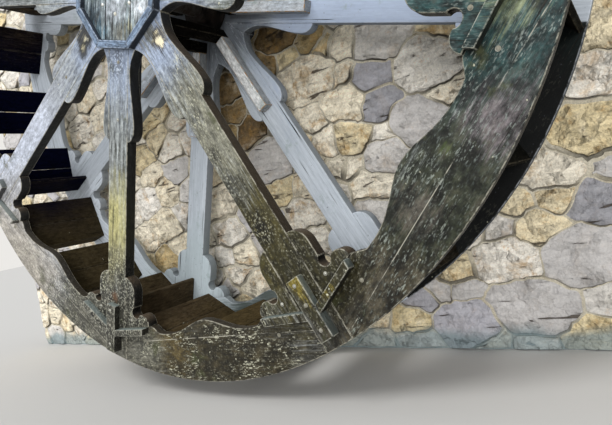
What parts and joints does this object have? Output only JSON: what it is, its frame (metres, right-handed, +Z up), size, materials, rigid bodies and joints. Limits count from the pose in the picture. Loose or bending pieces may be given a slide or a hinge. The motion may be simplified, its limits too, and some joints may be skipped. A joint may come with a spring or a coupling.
{
  "type": "timber water wheel on a stretch of mill wall",
  "caption": "Timber water wheel with buckets between two scalloped rims, turning on a steel shaft that runs through a stretch of rubble stone mill wall.",
  "frame": {"origin": "middle of the wall's foot, on the ground", "axes": "+X along the wall, -Y out of the wall's face on the wheel's side, +Z up"},
  "size_m": [6, 1.549, 4.6],
  "materials": {
    "rubble_stone": "rough",
    "near_side_wood": "wet and mossy",
    "far_side_wood": "weathered",
    "hub_casing_wood": "weathered",
    "bucket_wood": "wet",
    "cast_iron": "rough",
    "shaft_steel": "satin"
  },
  "bodies": {
    "mill_wall": {"wall": "rubble_stone", "wall_bearing": "cast_iron", "back_bearing": "cast_iron"},
    "wheel": {"shaft": "shaft_steel", "shaft_collars": "cast_iron", "near_flange": "cast_iron", "far_flange": "cast_iron", "hub_spacers": "bucket_wood", "near_hub_frame": "hub_casing_wood", "near_hub_boards": "hub_casing_wood", "far_hub_frame": "far_side_wood", "far_hub_boards": "far_side_wood", "near_spoke_1": "near_side_wood", "near_spoke_2": "near_side_wood", "near_spoke_3": "near_side_wood", "near_spoke_4": "near_side_wood", "near_spoke_5": "near_side_wood", "near_spoke_6": "near_side_wood", "near_spoke_7": "near_side_wood", "near_spoke_8": "near_side_wood", "far_spoke_1": "far_side_wood", "far_spoke_2": "far_side_wood", "far_spoke_3": "far_side_wood", "far_spoke_4": "far_side_wood", "far_spoke_5": "far_side_wood", "far_spoke_6": "far_side_wood", "far_spoke_7": "far_side_wood", "far_spoke_8": "far_side_wood", "near_gussets": "near_side_wood", "far_gussets": "far_side_wood", "near_spoke_battens": "near_side_wood", "far_spoke_battens": "far_side_wood", "near_feet": "near_side_wood", "far_feet": "far_side_wood", "near_rim": "near_side_wood", "far_rim": "far_side_wood", "near_joint_battens": "near_side_wood", "far_joint_battens": "far_side_wood", "near_foot_battens": "near_side_wood", "far_foot_battens": "far_side_wood", "bucket_back_boards": "bucket_wood", "bucket_elbow_boards": "bucket_wood", "bucket_floor_boards": "bucket_wood", "cross_planks": "bucket_wood"}
  },
  "joints": [
    {"name": "wheel_spin", "type": "hinge", "parent": "mill_wall", "child": "wheel", "pos_m": [0, -0.7, 2.1], "axis": [0, 1, 0], "continuous": true}
  ]
}
